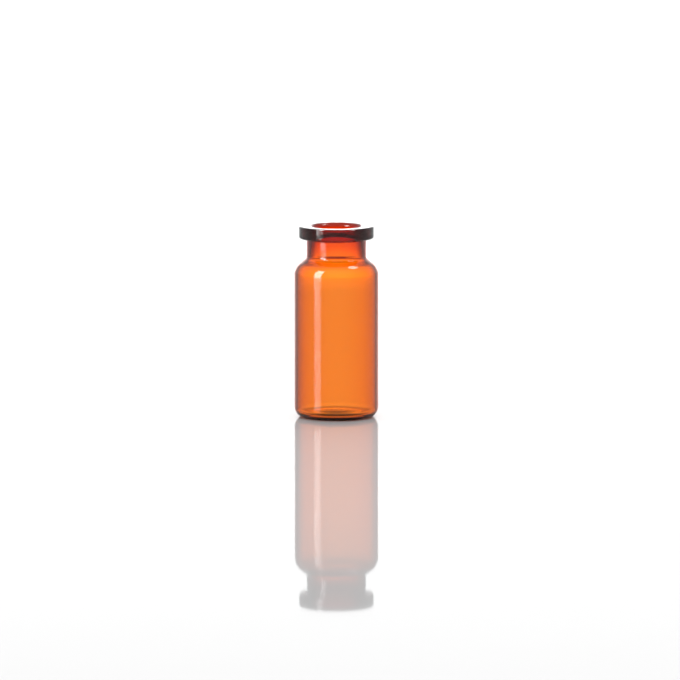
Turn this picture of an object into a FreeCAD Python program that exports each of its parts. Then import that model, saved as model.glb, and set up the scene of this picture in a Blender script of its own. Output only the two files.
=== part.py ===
import FreeCAD, Part
import math
import os

import Sketcher

# A crimp-neck vial made from one length of amber glass tube: the base is melted shut and
# pushed up, the shoulder, neck and flange are rolled while the glass is soft, and the whole
# is one wall of glass. The vial stands on its foot at Z = 0 with its axis on Z.

doc = FreeCAD.newDocument("tubular_vial")

# Driving sizes, in millimetres and degrees.
SIZES = [
    ("overall_height", 50.3, "foot to sealing face"),
    ("body_diameter", 22.0, "outside of the straight body"),
    ("wall", 0.8, "glass of the straight body"),
    ("shoulder_wall", 0.74, "glass of the shoulder, thinned where it is rolled in"),
    ("neck_length", 7.73, "sealing face down to the end of the straight neck"),
    ("neck_diameter", 15.56, "outside of the neck"),
    ("bore_diameter", 13.1, "straight bore that takes the stopper"),
    ("flange_diameter", 19.64, "outside of the crimp flange"),
    ("flange_height", 3.3, "sealing face to underside of the flange"),
    ("flange_top_edge", 0.25, "softened outer edge of the sealing face"),
    ("flange_under_edge", 0.3, "softened outer edge of the underside"),
    ("mouth_edge", 0.3, "softened edge of the bore at the sealing face"),
    ("shoulder_round", 4.1, "outside turn from body to shoulder"),
    ("shoulder_slope", 51.4, "lean of the shoulder from upright, degrees"),
    ("shoulder_hollow", 1.1, "outside turn from shoulder to neck"),
    ("inner_slope", 57.0, "lean of the shoulder inside, degrees"),
    ("heel_round", 3.15, "turn of the heel from the body"),
    ("heel_turn", 45.8, "angle that the heel's turn covers, degrees"),
    ("heel_lift", 0.48, "height where the heel's turn ends"),
    ("foot_diameter", 18.1, "outside of the flat ring that the vial stands on"),
    ("foot_width", 1.0, "width of that ring"),
    ("push_up", 0.45, "height of the base's centre above the foot"),
    ("base_flat", 6.0, "flat middle of the pushed-up base"),
    ("base_glass", 1.15, "glass at the centre of the base"),
    ("floor_fall", 6.0, "slope of the raised floor round its flat middle, degrees"),
    ("floor_round", 2.1, "inside turn from floor to wall"),
]

sheet = doc.addObject("Spreadsheet::Sheet", "sizes")
for row, (alias, value, meaning) in enumerate(SIZES, start=1):
    sheet.set(f"A{row}", meaning)
    sheet.set(f"B{row}", str(value))
    sheet.setAlias(f"B{row}", alias)
doc.recompute()


def size(alias):
    """The value of one driving size."""
    return float(getattr(sheet, alias))


def bound(alias):
    """The expression that reads one driving size."""
    return f"<<sizes>>.{alias}"


class Outline:
    """One closed outline in a sketch on the XZ plane: runs and turns, end to end."""

    def __init__(self, body, name):
        self.sketch = body.newObject("Sketcher::SketchObject", name)
        plane = next(item for item in body.Origin.OriginFeatures if item.Role == "XZ_Plane")
        self.sketch.AttachmentSupport = [(plane, "")]
        self.sketch.MapMode = "FlatFace"
        self.path = []

    def run(self, start, end):
        """A straight run; gives its place in the sketch."""
        segment = Part.LineSegment(FreeCAD.Vector(*start, 0), FreeCAD.Vector(*end, 0))
        index = self.sketch.addGeometry(segment, False)
        self.path.append((index, 1, 2))
        return index

    def turn(self, centre, start, end, clockwise=False):
        """A turn about a centre from one point to another; gives its place in the sketch."""
        upward = FreeCAD.Vector(0, 0, 1)
        circle = Part.Circle(FreeCAD.Vector(*centre, 0), upward, math.dist(centre, start))
        first, last = (end, start) if clockwise else (start, end)
        angles = [circle.parameter(FreeCAD.Vector(*point, 0)) for point in (first, last)]
        index = self.sketch.addGeometry(Part.ArcOfCircle(circle, *angles), False)
        self.path.append((index, 2, 1) if clockwise else (index, 1, 2))
        return index

    def join(self, smooth):
        """Join the runs end to end, tangent where the run before the joint is in smooth."""
        for place, (index, _, end) in enumerate(self.path):
            after, start, _ = self.path[(place + 1) % len(self.path)]
            kind = "Tangent" if index in smooth else "Coincident"
            self.fix(kind, index, end, after, start)

    def fix(self, *parts):
        """One constraint; gives its place in the list."""
        return self.sketch.addConstraint(Sketcher.Constraint(*parts))

    def on_axis(self, run, point):
        """Hold a point of a run on the vial's axis."""
        self.fix("PointOnObject", run, point, -2)

    def dimension(self, name, expression, value, kind, *places):
        """One named dimension, bound to the sheet."""
        place = self.fix(kind, *places, value)
        self.sketch.renameConstraint(place, name)
        self.sketch.setExpression(f"Constraints.{name}", expression)

    def reach(self, name, expression, value, run, point):
        """The radius of a point of a run, from the axis."""
        self.dimension(name, expression, value, "DistanceX", -1, 1, run, point)

    def height(self, name, expression, value, run, point):
        """The height of a point of a run above the foot."""
        self.dimension(name, expression, value, "DistanceY", -1, 1, run, point)


def polar(centre, radius, turn):
    """The point at an angle, in radians, on a circle."""
    return centre[0] + radius * math.cos(turn), centre[1] + radius * math.sin(turn)


body = doc.addObject("PartDesign::Body", "vial")
body.Label = "vial"

# Heights and radii that follow from the driving sizes.
body_radius = size("body_diameter") / 2
neck_radius = size("neck_diameter") / 2
bore_radius = size("bore_diameter") / 2
flange_radius = size("flange_diameter") / 2
foot_radius = size("foot_diameter") / 2
flat_radius = size("base_flat") / 2
top = size("overall_height")
underside = top - size("flange_height")
neck_foot = top - size("neck_length")
slope = math.radians(size("shoulder_slope"))
turns = size("shoulder_round") + size("shoulder_hollow")
shoulder_run = body_radius - neck_radius - turns * (1 - math.cos(slope))
body_top = neck_foot - turns * math.sin(slope) - shoulder_run / math.tan(slope)

# Outside of the glass, from the pushed-up base out to the foot, up the heel, body, shoulder
# and neck, round the flange and back to the axis along the sealing face.
outside = Outline(body, "outside_profile")

heel_turn = math.radians(size("heel_turn"))
heel_centre = (
    body_radius - size("heel_round"), size("heel_lift") + size("heel_round") * math.sin(heel_turn))
heel_end = polar(heel_centre, size("heel_round"), -heel_turn)
foot_inner = (foot_radius - size("foot_width"), 0.0)
shoulder_centre = (body_radius - size("shoulder_round"), body_top)
shoulder_end = polar(shoulder_centre, size("shoulder_round"), slope)
hollow_centre = (neck_radius + size("shoulder_hollow"), neck_foot)
hollow_start = polar(hollow_centre, -size("shoulder_hollow"), slope)

base = outside.run((0.0, size("push_up")), (flat_radius, size("push_up")))
push_up = outside.run((flat_radius, size("push_up")), foot_inner)
foot = outside.run(foot_inner, (foot_radius, 0.0))
foot_edge = outside.run((foot_radius, 0.0), heel_end)
heel = outside.turn(heel_centre, heel_end, (body_radius, heel_centre[1]))
side = outside.run((body_radius, heel_centre[1]), (body_radius, body_top))
shoulder = outside.turn(shoulder_centre, (body_radius, body_top), shoulder_end)
slant = outside.run(shoulder_end, hollow_start)
hollow = outside.turn(hollow_centre, hollow_start, (neck_radius, neck_foot), clockwise=True)
neck = outside.run((neck_radius, neck_foot), (neck_radius, underside))
flange_under = outside.run((neck_radius, underside), (flange_radius, underside))
flange_side = outside.run((flange_radius, underside), (flange_radius, top))
sealing_face = outside.run((flange_radius, top), (0.0, top))
middle = outside.run((0.0, top), (0.0, size("push_up")))
outside.join(smooth={heel, side, shoulder, slant, hollow})

outside.fix("PointOnObject", foot, 1, -1)
for upright in (side, neck, flange_side):
    outside.fix("Vertical", upright)
for level in (base, foot, flange_under, sealing_face):
    outside.fix("Horizontal", level)
outside.on_axis(middle, 1)
outside.on_axis(middle, 2)

outside.height("push_up", bound("push_up"), size("push_up"), base, 2)
outside.reach("base_flat", bound("base_flat") + " / 2", flat_radius, base, 2)
outside.dimension(
    "foot_width", bound("foot_width"), size("foot_width"), "DistanceX", foot, 1, foot, 2)
outside.reach("foot_radius", bound("foot_diameter") + " / 2", foot_radius, foot, 2)
outside.height("heel_lift", bound("heel_lift"), size("heel_lift"), foot_edge, 2)
outside.dimension("heel_round", bound("heel_round"), size("heel_round"), "Radius", heel)
outside.dimension("heel_turn", bound("heel_turn"), heel_turn, "Angle", heel)
outside.reach("body_radius", bound("body_diameter") + " / 2", body_radius, side, 1)
outside.dimension(
    "shoulder_round", bound("shoulder_round"), size("shoulder_round"), "Radius", shoulder)
outside.dimension("shoulder_slope", bound("shoulder_slope"), slope, "Angle", shoulder)
outside.dimension(
    "shoulder_hollow", bound("shoulder_hollow"), size("shoulder_hollow"), "Radius", hollow)
outside.reach("neck_radius", bound("neck_diameter") + " / 2", neck_radius, neck, 1)
outside.dimension(
    "neck_length", bound("neck_length"), size("neck_length"), "DistanceY", neck, 1,
    flange_side, 2)
outside.reach("flange_radius", bound("flange_diameter") + " / 2", flange_radius, flange_side, 1)
outside.dimension(
    "flange_height", bound("flange_height"), size("flange_height"), "DistanceY",
    flange_side, 1, flange_side, 2)
outside.height("overall_height", bound("overall_height"), top, flange_side, 2)
doc.recompute()

blank = body.newObject("PartDesign::Revolution", "outside_glass")
blank.Profile = outside.sketch
blank.ReferenceAxis = (outside.sketch, ["V_Axis"])
blank.Angle = 360.0
doc.recompute()
blank_volume = body.Shape.Volume

# Inside of the glass, from the raised floor out and up the wall, in along the shoulder as far
# as the bore, and up the bore to the sealing face.
inside = Outline(body, "inside_profile")

inner_radius = body_radius - size("wall")
inner_shoulder = size("shoulder_round") - size("wall")
inner_top = body_top + (size("wall") - size("shoulder_wall")) / math.cos(slope)
floor_top = size("push_up") + size("base_glass")
floor_fall = math.radians(size("floor_fall"))
corner_radius = inner_radius - size("floor_round")
corner_height = (
    floor_top - (corner_radius - flat_radius) * math.tan(floor_fall)
    + size("floor_round") / math.cos(floor_fall))
corner_centre = (corner_radius, corner_height)
corner_start = (
    corner_radius - size("floor_round") * math.sin(floor_fall),
    corner_height - size("floor_round") * math.cos(floor_fall))
inner_centre = (body_radius - size("shoulder_round"), inner_top)
inner_slope = math.radians(size("inner_slope"))
inner_end = polar(inner_centre, inner_shoulder, inner_slope)
throat_top = inner_end[1] + (inner_end[0] - bore_radius) / math.tan(inner_slope)

floor = inside.run((0.0, floor_top), (flat_radius, floor_top))
floor_side = inside.run((flat_radius, floor_top), corner_start)
corner = inside.turn(corner_centre, corner_start, (inner_radius, corner_height))
inner_side = inside.run((inner_radius, corner_height), (inner_radius, inner_top))
inner_turn = inside.turn(inner_centre, (inner_radius, inner_top), inner_end)
inner_slant = inside.run(inner_end, (bore_radius, throat_top))
bore = inside.run((bore_radius, throat_top), (bore_radius, top))
mouth = inside.run((bore_radius, top), (0.0, top))
inner_middle = inside.run((0.0, top), (0.0, floor_top))
inside.join(smooth={floor_side, corner, inner_side, inner_turn})

for upright in (inner_side, bore):
    inside.fix("Vertical", upright)
for level in (floor, mouth):
    inside.fix("Horizontal", level)
inside.on_axis(inner_middle, 1)
inside.on_axis(inner_middle, 2)

inside.height(
    "floor_top", bound("push_up") + " + " + bound("base_glass"), floor_top, floor, 2)
inside.reach("floor_flat", bound("base_flat") + " / 2", flat_radius, floor, 2)
inside.dimension("floor_round", bound("floor_round"), size("floor_round"), "Radius", corner)
inside.dimension(
    "corner_turn", "90 deg + " + bound("floor_fall") + " * 1 deg", math.pi / 2 + floor_fall,
    "Angle", corner)
inside.reach(
    "inner_radius", bound("body_diameter") + " / 2 - " + bound("wall"), inner_radius,
    inner_side, 1)
inside.dimension(
    "inner_shoulder", bound("shoulder_round") + " - " + bound("wall"), inner_shoulder,
    "Radius", inner_turn)
inside.dimension("inner_slope", bound("inner_slope"), inner_slope, "Angle", inner_turn)
inside.reach("bore_radius", bound("bore_diameter") + " / 2", bore_radius, bore, 1)
inside.height("overall_height", bound("overall_height"), top, bore, 2)
INNER_TOP = (
    "{height} - {neck} - ({outer} + {hollow}) * sin({slope})"
    " - (({body} - {neck_across}) / 2 - ({outer} + {hollow}) * (1 - cos({slope}))) / tan({slope})"
    " + ({wall} - {thin}) / cos({slope})"
).format(
    height=bound("overall_height"), neck=bound("neck_length"), outer=bound("shoulder_round"),
    hollow=bound("shoulder_hollow"), slope=bound("shoulder_slope"), body=bound("body_diameter"),
    neck_across=bound("neck_diameter"), wall=bound("wall"), thin=bound("shoulder_wall"))
inside.height("inner_top", INNER_TOP, inner_top, inner_side, 2)
doc.recompute()

cavity = body.newObject("PartDesign::Groove", "cavity")
cavity.Profile = inside.sketch
cavity.ReferenceAxis = (inside.sketch, ["V_Axis"])
cavity.Angle = 360.0
doc.recompute()
hollow_volume = body.Shape.Volume


def rim(shape, radius, height):
    """Names of the round edges of one radius at one height."""
    names = []
    for number, edge in enumerate(shape.Edges, start=1):
        box = edge.BoundBox
        reach = (box.XMax, -box.YMin, box.ZMin, box.ZMax)
        if math.dist(reach, (radius, radius, height, height)) < 1e-3:
            names.append(f"Edge{number}")
    return names


# Softened edges of the flange and the mouth.
EDGES = [
    ("flange_top_edge", flange_radius, top),
    ("flange_under_edge", flange_radius, underside),
    ("mouth_edge", bore_radius, top),
]
for alias, radius, height in EDGES:
    before = body.Tip
    edges = rim(before.Shape, radius, height)
    if not edges:
        raise RuntimeError(f"no edge for {alias}")
    softened = body.newObject("PartDesign::Chamfer", alias + "_softened")
    softened.Base = (before, edges)
    softened.Size = size(alias)
    softened.setExpression("Size", bound(alias))
    doc.recompute()

if hollow_volume >= blank_volume:
    raise RuntimeError("the cavity cuts nothing")
for outline in (outside, inside):
    if not outline.sketch.FullyConstrained:
        raise RuntimeError(f"{outline.sketch.Name} is not fully constrained")
for item in doc.Objects:
    if "Invalid" in item.State or "Error" in item.State:
        raise RuntimeError(f"{item.Name} failed: {item.State}")
if body.Shape.isNull() or not body.Shape.isValid():
    raise RuntimeError("the glass is not a valid solid")

os.makedirs("parts", exist_ok=True)
body.Shape.exportStep(f"parts/{body.Label}.step")
print(f"vial: {len(body.Shape.Solids)} solid, {body.Shape.Volume:.1f} mm3 of glass, "
      f"{blank_volume - hollow_volume:.0f} mm3 inside")
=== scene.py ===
import math

import bpy
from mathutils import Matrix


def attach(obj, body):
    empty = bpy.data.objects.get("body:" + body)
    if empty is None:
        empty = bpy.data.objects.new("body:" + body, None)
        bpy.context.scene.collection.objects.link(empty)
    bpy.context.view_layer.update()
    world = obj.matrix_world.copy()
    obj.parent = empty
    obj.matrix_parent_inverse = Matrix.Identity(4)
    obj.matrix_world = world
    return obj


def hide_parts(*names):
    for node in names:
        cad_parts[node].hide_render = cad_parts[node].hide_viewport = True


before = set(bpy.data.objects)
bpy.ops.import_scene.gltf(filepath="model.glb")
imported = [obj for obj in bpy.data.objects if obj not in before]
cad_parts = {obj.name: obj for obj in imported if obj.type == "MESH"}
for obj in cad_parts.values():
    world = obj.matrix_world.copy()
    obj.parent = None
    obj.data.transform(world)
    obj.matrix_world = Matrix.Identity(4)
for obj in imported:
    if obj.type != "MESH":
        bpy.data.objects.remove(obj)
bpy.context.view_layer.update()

# The glass: one piece of amber tube, its base melted shut and pushed up, its shoulder, neck and
# crimp flange rolled in the same wall. It is drawn as one outline, from the middle of the base
# round the outside to the mouth and down the inside to the floor, and spun about the axis.
MM = 0.001
OVERALL_HEIGHT = 50.3
BODY_RADIUS = 11.0
WALL = 0.8
SHOULDER_WALL = 0.85
NECK_LENGTH = 7.73
NECK_RADIUS = 7.78
BORE_RADIUS = 6.25
BORE_STRAIGHT = 2.8
THROAT_RADIUS = 6.72
FLANGE_RADIUS = 9.82
FLANGE_HEIGHT = 3.3
FLANGE_TOP_ROUND = 0.4
FLANGE_UNDER_ROUND = 0.5
FLANGE_ROOT_ROUND = 0.4
MOUTH_ROUND = 1.1
SHOULDER_ROUND = 4.1
SHOULDER_SLOPE = 51.4
SHOULDER_HOLLOW = 1.1
INNER_SLOPE = 57.0
THROAT_ROUND = 2.5
HEEL_ROUND = 3.15
HEEL_TURN = 45.8
FOOT_ROUND = 1.7
FOOT_WIDTH = 1.0
PUSH_UP = 0.32
BASE_GLASS = 1.67
FLOOR_CROWN = 42.0
FLOOR_ROUND = 1.2
TURNS_ROUND = 240
TURN_STEP = 5.0
RUN_STEP = 1.5
MERGE_GAP = 0.002


class Outline:
    """The glass's outline, drawn as a chain of edges from its last point, in millimetres."""

    def __init__(self, radius, height):
        bpy.ops.object.select_all(action="DESELECT")
        bpy.ops.mesh.primitive_plane_add(size=MM, location=(radius * MM, 0, height * MM))
        bpy.ops.object.transform_apply(location=True)
        bpy.ops.object.mode_set(mode="EDIT")
        bpy.ops.mesh.select_mode(type="VERT")
        bpy.ops.mesh.select_all(action="SELECT")
        bpy.ops.mesh.merge(type="CENTER")
        self.radius, self.height = radius, height

    def run(self, radius, height):
        """A straight run to a point, in short steps."""
        across, up = radius - self.radius, height - self.height
        steps = max(1, round(math.hypot(across, up) / RUN_STEP))
        step = (across / steps * MM, 0, up / steps * MM)
        for _ in range(steps):
            bpy.ops.mesh.extrude_region_move(TRANSFORM_OT_translate={"value": step})
        self.radius, self.height = radius, height

    def turn(self, radius, height, degrees):
        """A turn about a centre, anticlockwise where degrees is positive."""
        steps = max(2, round(abs(degrees) / TURN_STEP))
        bpy.ops.mesh.spin(
            steps=steps, angle=math.radians(degrees), center=(radius * MM, 0, height * MM),
            axis=(0, 1, 0))
        across, up = self.radius - radius, self.height - height
        sine, cosine = math.sin(math.radians(degrees)), math.cos(math.radians(degrees))
        self.radius = radius + across * cosine - up * sine
        self.height = height + across * sine + up * cosine


heel_sine = math.sin(math.radians(HEEL_TURN))
heel_cosine = math.cos(math.radians(HEEL_TURN))
heel_height = HEEL_ROUND * heel_sine + FOOT_ROUND * (1 - heel_sine)
foot_centre = BODY_RADIUS - HEEL_ROUND + (HEEL_ROUND - FOOT_ROUND) * heel_cosine
foot_inner = foot_centre - FOOT_WIDTH
push_radius = (foot_inner ** 2 + PUSH_UP ** 2) / (2 * PUSH_UP)
slope_sine = math.sin(math.radians(SHOULDER_SLOPE))
slope_cosine = math.cos(math.radians(SHOULDER_SLOPE))
neck_foot = OVERALL_HEIGHT - NECK_LENGTH
turns = SHOULDER_ROUND + SHOULDER_HOLLOW
shoulder_run = BODY_RADIUS - NECK_RADIUS - turns * (1 - slope_cosine)
body_top = neck_foot - turns * slope_sine - shoulder_run * slope_cosine / slope_sine
underside = OVERALL_HEIGHT - FLANGE_HEIGHT

glass_outline = Outline(0.0, PUSH_UP)
glass_outline.turn(0.0, PUSH_UP - push_radius, -math.degrees(math.asin(foot_inner / push_radius)))
glass_outline.run(foot_centre, 0.0)
glass_outline.turn(foot_centre, FOOT_ROUND, 90.0 - HEEL_TURN)
glass_outline.turn(BODY_RADIUS - HEEL_ROUND, heel_height, HEEL_TURN)
glass_outline.run(BODY_RADIUS, body_top)
glass_outline.turn(BODY_RADIUS - SHOULDER_ROUND, body_top, SHOULDER_SLOPE)
hollow_side = SHOULDER_HOLLOW * (1 - slope_cosine)
glass_outline.run(NECK_RADIUS + hollow_side, neck_foot - SHOULDER_HOLLOW * slope_sine)
glass_outline.turn(NECK_RADIUS + SHOULDER_HOLLOW, neck_foot, -SHOULDER_SLOPE)
glass_outline.run(NECK_RADIUS, underside - FLANGE_ROOT_ROUND)
glass_outline.turn(NECK_RADIUS + FLANGE_ROOT_ROUND, underside - FLANGE_ROOT_ROUND, -90.0)
glass_outline.run(FLANGE_RADIUS - FLANGE_UNDER_ROUND, underside)
glass_outline.turn(FLANGE_RADIUS - FLANGE_UNDER_ROUND, underside + FLANGE_UNDER_ROUND, 90.0)
glass_outline.run(FLANGE_RADIUS, OVERALL_HEIGHT - FLANGE_TOP_ROUND)
glass_outline.turn(FLANGE_RADIUS - FLANGE_TOP_ROUND, OVERALL_HEIGHT - FLANGE_TOP_ROUND, 90.0)
glass_outline.run(BORE_RADIUS + MOUTH_ROUND, OVERALL_HEIGHT)
glass_outline.turn(BORE_RADIUS + MOUTH_ROUND, OVERALL_HEIGHT - MOUTH_ROUND, 90.0)

# The inside follows the outside up the wall. Its shoulder leans further in than the outside's
# and rolls over into the bore. The floor is a wide dome with a round corner.
inner_sine = math.sin(math.radians(INNER_SLOPE))
inner_cosine = math.cos(math.radians(INNER_SLOPE))
inner_radius = BODY_RADIUS - WALL
inner_shoulder = SHOULDER_ROUND - WALL
inner_top = body_top + (WALL - SHOULDER_WALL) / slope_cosine
inner_end = BODY_RADIUS - SHOULDER_ROUND + inner_shoulder * inner_cosine
throat_centre = THROAT_RADIUS + THROAT_ROUND
inner_slant = inner_end - throat_centre + THROAT_ROUND * inner_cosine
throat_height = (
    inner_top + (inner_shoulder + THROAT_ROUND) * inner_sine
    + inner_slant * inner_cosine / inner_sine)
floor_top = PUSH_UP + BASE_GLASS
corner_run = inner_radius - FLOOR_ROUND
corner_span = FLOOR_CROWN + FLOOR_ROUND
corner_height = floor_top - FLOOR_CROWN + math.sqrt(corner_span ** 2 - corner_run ** 2)
crown_turn = math.degrees(math.asin(corner_run / corner_span))

glass_outline.run(BORE_RADIUS, OVERALL_HEIGHT - BORE_STRAIGHT)
glass_outline.run(THROAT_RADIUS, throat_height)
glass_outline.turn(throat_centre, throat_height, INNER_SLOPE)
glass_outline.run(inner_end, inner_top + inner_shoulder * inner_sine)
glass_outline.turn(BODY_RADIUS - SHOULDER_ROUND, inner_top, -INNER_SLOPE)
glass_outline.run(inner_radius, corner_height)
glass_outline.turn(corner_run, corner_height, -90.0 - crown_turn)
glass_outline.turn(0.0, floor_top - FLOOR_CROWN, crown_turn)

bpy.ops.mesh.select_all(action="SELECT")
bpy.ops.mesh.spin(steps=TURNS_ROUND, angle=math.tau, center=(0, 0, 0), axis=(0, 0, 1))
bpy.ops.mesh.select_all(action="SELECT")
bpy.ops.mesh.remove_doubles(threshold=MERGE_GAP * MM)
bpy.ops.mesh.normals_make_consistent(inside=False)
bpy.ops.object.mode_set(mode="OBJECT")
bpy.ops.object.shade_smooth()
glass = bpy.context.object
glass.name = "amber_vial"


class Value:
    """A socket in a shader, so that sums on it add the Math nodes."""

    def __init__(self, tree, socket):
        self.tree, self.socket = tree, socket

    def math(self, operation, *terms):
        """A Math node on the given terms, each a value or a number."""
        node = self.tree.nodes.new("ShaderNodeMath")
        node.operation = operation
        for place, term in enumerate(terms):
            if isinstance(term, Value):
                self.tree.links.new(term.socket, node.inputs[place])
            else:
                node.inputs[place].default_value = term
        return Value(self.tree, node.outputs[0])

    def __add__(self, other):
        return self.math("ADD", self, other)

    def __radd__(self, other):
        return self.math("ADD", other, self)

    def __sub__(self, other):
        return self.math("SUBTRACT", self, other)

    def __rsub__(self, other):
        return self.math("SUBTRACT", other, self)

    def __mul__(self, other):
        return self.math("MULTIPLY", self, other)

    def __rmul__(self, other):
        return self.math("MULTIPLY", other, self)

    def __truediv__(self, other):
        return self.math("DIVIDE", self, other)

    def __rtruediv__(self, other):
        return self.math("DIVIDE", other, self)

    def __abs__(self):
        return self.math("ABSOLUTE", self)


class Shader:
    """The node tree of a material or a world."""

    def __init__(self, owner):
        owner.use_nodes = True
        self.tree = owner.node_tree
        self.tree.nodes.clear()

    def node(self, kind, settings=(), output=0, **inputs):
        """A node with its settings made first, then its sockets; gives one of its outputs."""
        made = self.tree.nodes.new(kind)
        for name, value in dict(settings).items():
            setattr(made, name, value)
        for name, value in inputs.items():
            socket = made.inputs[name.replace("_", " ")]
            if isinstance(value, Value):
                self.tree.links.new(value.socket, socket)
            else:
                socket.default_value = value
        return Value(self.tree, made.outputs[output])

    def ease(self, value, low, high, start=0.0, end=1.0):
        """A soft step from start to end while a value goes from low to high."""
        return self.node(
            "ShaderNodeMapRange", {"interpolation_type": "SMOOTHSTEP"},
            Value=value, From_Min=low, From_Max=high, To_Min=start, To_Max=end)

    def axes(self, vector):
        """The three parts of a vector."""
        parts = self.node("ShaderNodeSeparateXYZ", Vector=vector).socket.node
        return [Value(self.tree, parts.outputs[axis]) for axis in range(3)]

    def finish(self, kind, **inputs):
        """The output node, fed by the named sockets."""
        made = self.tree.nodes.new(kind)
        for name, value in inputs.items():
            self.tree.links.new(value.socket, made.inputs[name])


# The glass is clear all through and colours light by the length that it crosses. Its skin has the
# faint lengthwise lines of drawn tube, and the foot's ring is dulled where it stands.
GLASS_IOR = 1.51
ABSORB_PER_MM = (0.38, 1.30, 3.20)
DRAW_LINE_WIDTH = 1.6
DRAW_LINE_STRETCH = 0.008
DRAW_LINE_DEPTH = 0.0008
FOOT_WEAR_HEIGHT = 0.08
FOOT_WEAR_ROUGHNESS = 0.3
FOOT_WEAR_GRAIN = 0.25

amber = bpy.data.materials.new("amber_glass")
shader = Shader(amber)
density = max(ABSORB_PER_MM) / MM
kept = [1 - each / max(ABSORB_PER_MM) for each in ABSORB_PER_MM]
place = shader.node("ShaderNodeTexCoord", output="Object")
drawn = shader.node("ShaderNodeMapping", Vector=place, Scale=(1, 1, DRAW_LINE_STRETCH))
lines = shader.node(
    "ShaderNodeTexNoise", Vector=drawn, Scale=1 / (DRAW_LINE_WIDTH * MM), Detail=1.0)
skin = shader.node("ShaderNodeBump", Height=lines, Distance=DRAW_LINE_DEPTH * MM)
grain = shader.node("ShaderNodeTexNoise", Vector=place, Scale=1 / (FOOT_WEAR_GRAIN * MM))
height = shader.axes(place)[2]
worn = shader.ease(height, 0.0, FOOT_WEAR_HEIGHT * MM, FOOT_WEAR_ROUGHNESS, 0.0)
surface = shader.node(
    "ShaderNodeBsdfPrincipled",
    Base_Color=(1, 1, 1, 1), Roughness=worn * grain, IOR=GLASS_IOR, Transmission_Weight=1.0,
    Normal=skin)
body_colour = shader.node("ShaderNodeVolumeAbsorption", Color=(*kept, 1), Density=density)
shader.finish("ShaderNodeOutputMaterial", Surface=surface, Volume=body_colour)
glass.data.materials.append(amber)

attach(glass, "root")
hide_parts("vial")

# The table: a pale, smooth plate that shows the vial faintly mirrored. Its tone and its gloss
# change a little from place to place.
FLOOR_SIDE = 40.0
FLOOR_IOR = 1.08
FLOOR_TONE = 0.8
FLOOR_TONE_CHANGE = 0.02
FLOOR_ROUGHNESS = 0.025
FLOOR_ROUGHNESS_CHANGE = 0.02
FLOOR_CLOUD = 0.09
bpy.ops.object.select_all(action="DESELECT")
bpy.ops.mesh.primitive_plane_add(size=FLOOR_SIDE, location=(0, 0, 0))
floor = bpy.context.object
floor.name = "pale_floor"
plate = bpy.data.materials.new("pale_plate")
shader = Shader(plate)
place = shader.node("ShaderNodeTexCoord", output="Object")
cloud = shader.node("ShaderNodeTexNoise", Vector=place, Scale=1 / FLOOR_CLOUD, Detail=4.0)
surface = shader.node(
    "ShaderNodeBsdfPrincipled",
    Base_Color=FLOOR_TONE + FLOOR_TONE_CHANGE * (cloud - 0.5),
    Roughness=FLOOR_ROUGHNESS + FLOOR_ROUGHNESS_CHANGE * (cloud - 0.5), IOR=FLOOR_IOR)
shader.finish("ShaderNodeOutputMaterial", Surface=surface)
floor.data.materials.append(plate)
floor.visible_transmission = False

# The studio: a bright backdrop straight behind, which dims to the sides, a dim room on the
# camera's side and a soft ceiling.
BACKDROP = 2.8
BACKDROP_EDGE = 30.0
BACKDROP_FULL = 8.0
SPILL = 0.85
SPILL_FULL = 0.9
SPILL_END = -0.3
ROOM = 0.35
CEILING = 0.6
CEILING_START = 0.30
CEILING_FULL = 0.75
world = bpy.data.worlds.new("studio")
bpy.context.scene.world = world
shader = Shader(world)
x, y, z = shader.axes(shader.node("ShaderNodeTexCoord", output="Generated"))
level = x * x + y * y
facing = y / level.math("SQRT", level)
panel = shader.ease(
    facing, math.cos(math.radians(BACKDROP_EDGE)), math.cos(math.radians(BACKDROP_FULL)))
spill = shader.ease(facing, SPILL_END, SPILL_FULL)
low = shader.ease(abs(z), CEILING_START, CEILING_FULL, 1.0, 0.0)
side_light = ROOM + (SPILL - ROOM) * spill
wall_light = side_light + (BACKDROP - SPILL) * panel
light = CEILING + (wall_light - CEILING) * low
background = shader.node("ShaderNodeBackground", Color=light)
shader.finish("ShaderNodeOutputWorld", Surface=background)

# The light that comes through the glass: a round tent of white cloth, lit from outside, which only
# refracted light sees. Below the table's level it stands for the table, above it for the room. It
# is brightest straight behind the vial, dim beside that, and bright again in front and at the foot.
TENT_RADIUS = 0.30
TENT_LOW = -0.20
TENT_HIGH = 0.30
TENT_SIDES = 128
TABLE_TURN = 3.0
TABLE_FULL = 9.0
TABLE_EDGE = 31.0
TABLE_BACK = 1.78
TABLE_SIDE = 0.5
PANEL_TURN = 0.5
PANEL_FULL = 7.0
PANEL_EDGE = 26.0
PANEL_BACK = 2.85
PANEL_SIDE = 0.45
PANEL_TOP = 0.8
PANEL_DIM_LOW = 0.065
PANEL_DIM_HIGH = 0.12
HORIZON_LOW = -0.006
HORIZON_HIGH = 0.006
UNDER = 0.44
UNDER_START = -0.06
UNDER_FULL = -0.16
FRONT = 1.6
FRONT_START = 55.0
FRONT_FULL = 100.0
BOTTOM = 1.3
BOTTOM_START = -0.10
BOTTOM_FULL = -0.15
bpy.ops.object.select_all(action="DESELECT")
bpy.ops.mesh.primitive_cylinder_add(
    vertices=TENT_SIDES, radius=TENT_RADIUS, depth=TENT_HIGH - TENT_LOW, end_fill_type="NGON",
    location=(0, 0, (TENT_HIGH + TENT_LOW) / 2))
bpy.ops.object.transform_apply(location=True)
tent = bpy.context.object
tent.name = "light_tent"
cloth = bpy.data.materials.new("lit_cloth")
shader = Shader(cloth)
x, y, z = shader.axes(shader.node("ShaderNodeTexCoord", output="Object"))
bearing = x.math("ARCTAN2", x, y) * math.degrees(1.0)
table_panel = shader.ease(abs(bearing - TABLE_TURN), TABLE_FULL, TABLE_EDGE, 1.0, 0.0)
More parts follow.
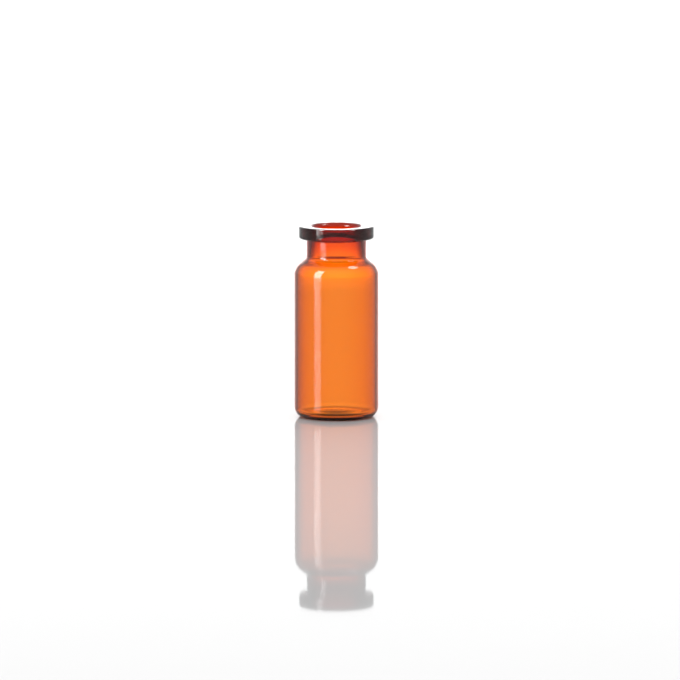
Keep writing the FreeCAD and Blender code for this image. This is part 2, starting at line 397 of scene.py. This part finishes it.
room_panel = shader.ease(abs(bearing - PANEL_TURN), PANEL_FULL, PANEL_EDGE, 1.0, 0.0)
above = shader.ease(z, HORIZON_LOW, HORIZON_HIGH)
under = shader.ease(z, UNDER_START, UNDER_FULL)
front = shader.ease(abs(bearing), FRONT_START, FRONT_FULL)
bottom = shader.ease(z, BOTTOM_START, BOTTOM_FULL)
table = TABLE_SIDE + (TABLE_BACK - TABLE_SIDE) * table_panel
back = PANEL_BACK + (PANEL_TOP - PANEL_BACK) * shader.ease(z, PANEL_DIM_LOW, PANEL_DIM_HIGH)
room = PANEL_SIDE + (back - PANEL_SIDE) * room_panel
glow = table + (room - table) * above
glow = glow + (UNDER - glow) * under
glow = glow + (FRONT - glow) * front
glow = glow + (BOTTOM - glow) * bottom
emission = shader.node("ShaderNodeEmission", Color=glow)
shader.finish("ShaderNodeOutputMaterial", Surface=emission)
cloth.cycles.emission_sampling = "NONE"
tent.data.materials.append(cloth)
tent.visible_camera = False
tent.visible_diffuse = False
tent.visible_glossy = False
tent.visible_shadow = False

# The lamps: a tall soft strip on the camera's left, whose streak runs down the glass, a small one
# high on its right, which makes the spot on the shoulder, and a wide sky that lights the table.
LAMP_DISTANCE = 0.7
LAMP_AIM = 0.03
SKY_WIDTH = 120.0
SKY_LIGHT = 0.3


def softbox(name, azimuth, elevation, width, height, radiance):
    """A soft lamp that faces the vial; azimuth runs clockwise from the camera's own side."""
    turn, rise = math.radians(azimuth), math.radians(elevation)
    bpy.ops.object.select_all(action="DESELECT")
    bpy.ops.object.light_add(
        type="AREA", rotation=(math.pi / 2 - rise, 0, -turn),
        location=(
            -LAMP_DISTANCE * math.cos(rise) * math.sin(turn),
            -LAMP_DISTANCE * math.cos(rise) * math.cos(turn),
            LAMP_AIM + LAMP_DISTANCE * math.sin(rise)))
    lamp = bpy.context.object
    lamp.name = name
    lamp.data.shape = "RECTANGLE"
    lamp.data.size = width
    lamp.data.size_y = height
    lamp.data.energy = radiance * math.pi * width * height
    lamp.visible_camera = False
    lamp.visible_diffuse = False


bpy.ops.object.select_all(action="DESELECT")
bpy.ops.object.light_add(type="SUN")
sky = bpy.context.object
sky.name = "ceiling_light"
sky.data.angle = math.radians(SKY_WIDTH)
sky.data.energy = SKY_LIGHT
sky.visible_glossy = False
sky.visible_transmission = False

softbox("strip_light", azimuth=53.2, elevation=22.0, width=0.26, height=0.62, radiance=12.5)
softbox("overhead_light", azimuth=-94.0, elevation=62.5, width=0.22, height=0.22, radiance=9.0)

# The camera: far off with a long lens, and a little above the vial. The photograph's scale and the
# place of the vial's axis and middle in it set the lens and the aim.
CAMERA_DISTANCE = 2.27
CAMERA_RISE = 7.52
PIXELS_PER_MM = 3.82
FRAME_PIXELS = 680
AXIS_PIXEL = 336.42
MIDDLE_PIXEL = 320.98
SENSOR_WIDTH = 36.0
CLIP_NEAR = 0.05
CLIP_FAR = 100.0
rise = math.radians(CAMERA_RISE)
frame_width = FRAME_PIXELS / PIXELS_PER_MM * MM
aim_right = (FRAME_PIXELS / 2 - AXIS_PIXEL) / PIXELS_PER_MM * MM
aim_drop = (FRAME_PIXELS / 2 - MIDDLE_PIXEL) / PIXELS_PER_MM * MM
aim_back = -aim_drop * math.sin(rise)
aim_height = OVERALL_HEIGHT / 2 * MM - aim_drop * math.cos(rise)
bpy.ops.object.select_all(action="DESELECT")
bpy.ops.object.camera_add(
    rotation=(math.pi / 2 - rise, 0, 0),
    location=(
        aim_right,
        aim_back - CAMERA_DISTANCE * math.cos(rise),
        aim_height + CAMERA_DISTANCE * math.sin(rise)))
camera = bpy.context.object
camera.name = "camera"
camera.data.sensor_width = SENSOR_WIDTH
camera.data.lens = SENSOR_WIDTH * CAMERA_DISTANCE / frame_width
camera.data.clip_start = CLIP_NEAR
camera.data.clip_end = CLIP_FAR
bpy.context.scene.camera = camera

bpy.context.scene.view_settings.view_transform = "Standard"
bpy.context.scene.view_settings.look = "None"
